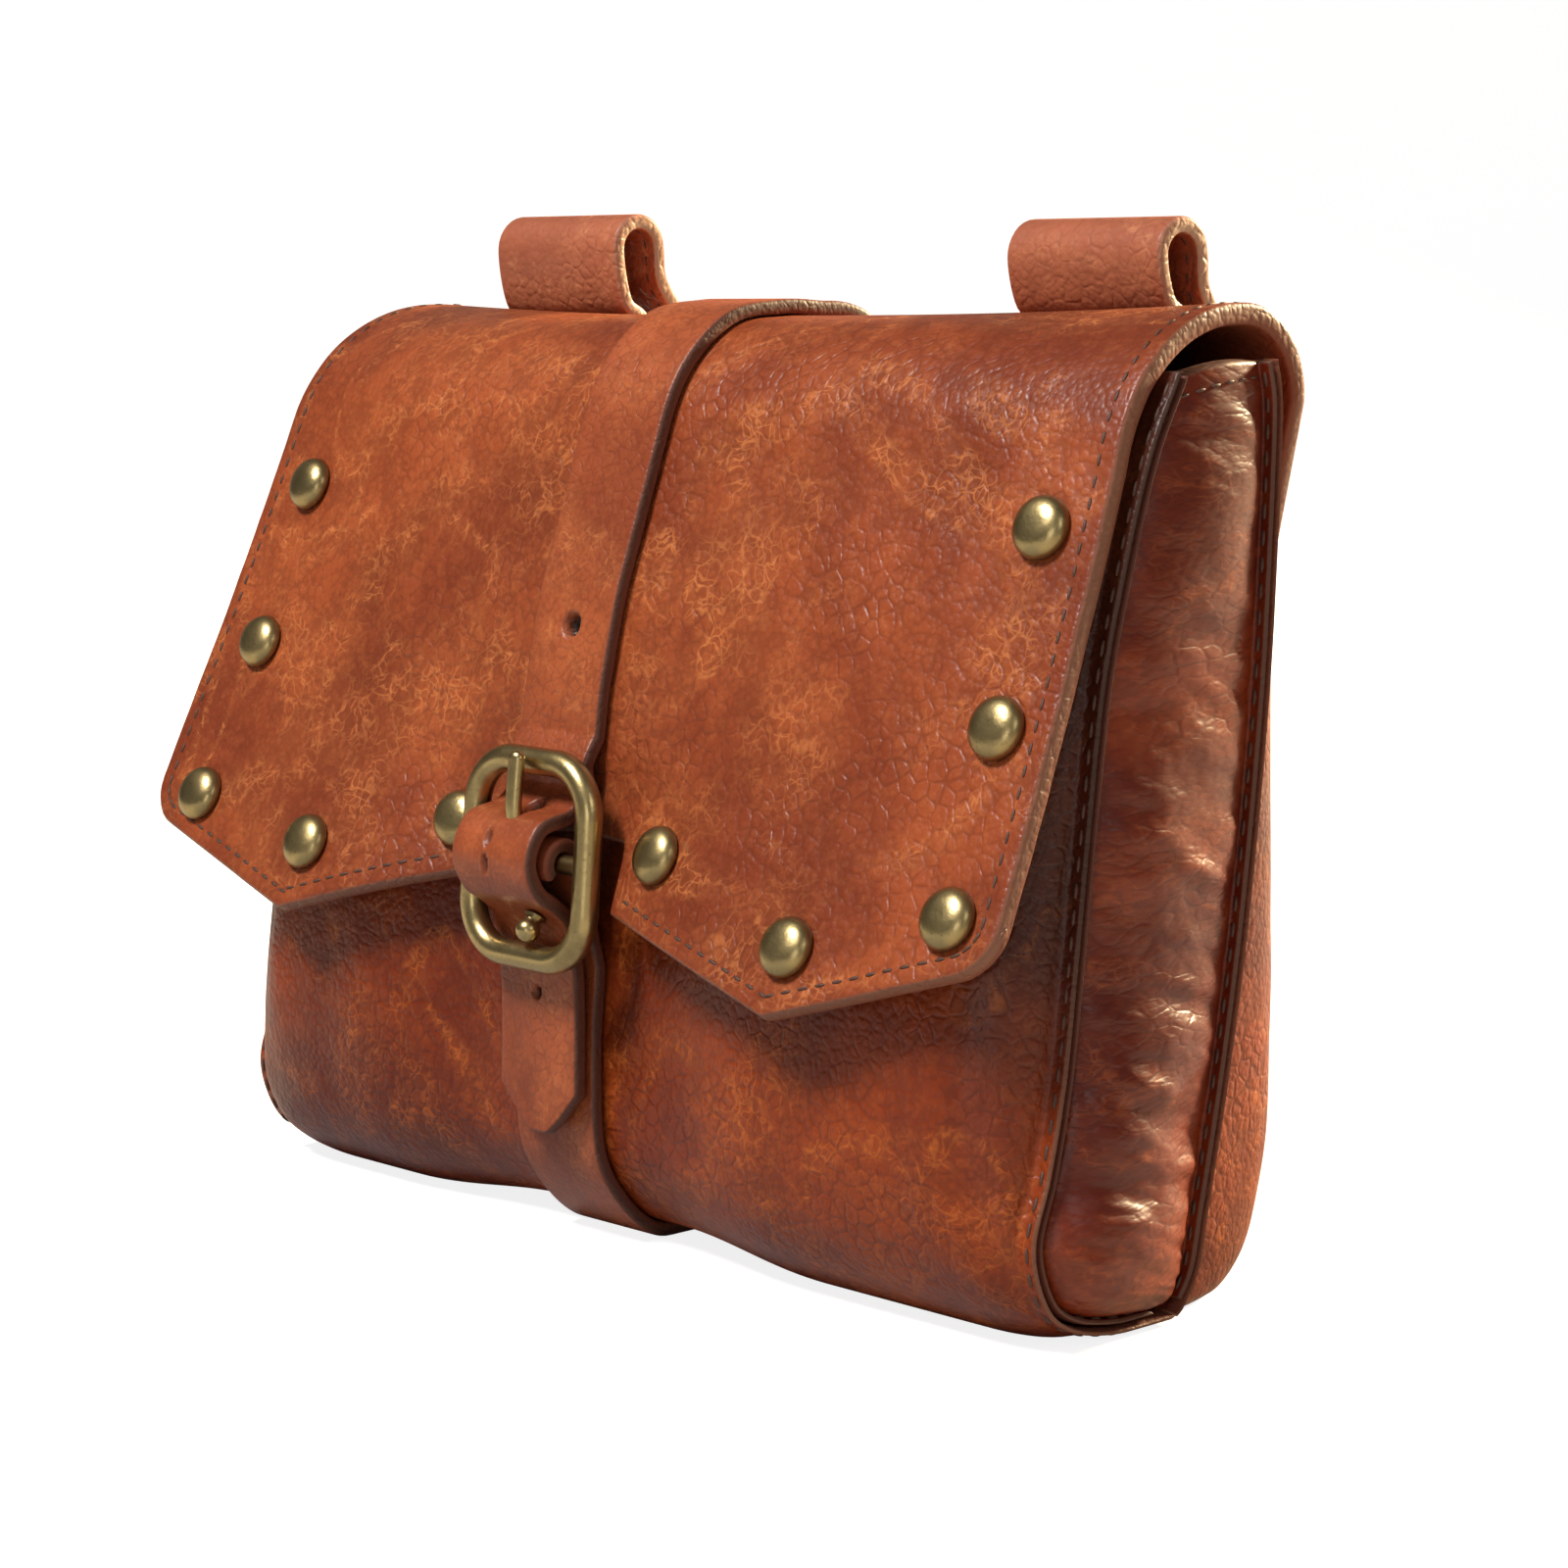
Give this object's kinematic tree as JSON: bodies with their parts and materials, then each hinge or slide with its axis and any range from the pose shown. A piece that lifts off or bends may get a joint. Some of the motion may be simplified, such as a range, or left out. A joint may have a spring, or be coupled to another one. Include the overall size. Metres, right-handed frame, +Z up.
{
  "type": "belt pouch",
  "caption": "Leather belt pouch with a riveted lobed flap, a strap and buckle closure, and belt loops behind the crest.",
  "frame": {"origin": "middle of the pouch's box, on the surface it stands on", "axes": "+X to the right as seen from the front, +Y to the back, +Z up"},
  "size_m": [0.1974, 0.087, 0.1574],
  "materials": {
    "body_leather": "waxed pull-up leather",
    "gusset_leather": "soft waxed leather",
    "strap_leather": "waxed strap leather with dark edges",
    "brass": "aged brass"
  },
  "bodies": {
    "root": {"front_panel": "body_leather", "back_panel": "body_leather", "gusset_left": "gusset_leather", "gusset_right": "gusset_leather", "flap": "body_leather", "rivet_left_1": "brass", "rivet_left_2": "brass", "rivet_left_3": "brass", "rivet_left_4": "brass", "rivet_left_5": "brass", "rivet_right_1": "brass", "rivet_right_2": "brass", "rivet_right_3": "brass", "rivet_right_4": "brass", "rivet_right_5": "brass", "closure_strap": "strap_leather", "buckle_strap": "strap_leather", "buckle_frame": "brass", "buckle_prong": "brass", "strap_stud": "brass", "belt_loop_left": "body_leather", "belt_loop_right": "body_leather"}
  },
  "joints": []
}
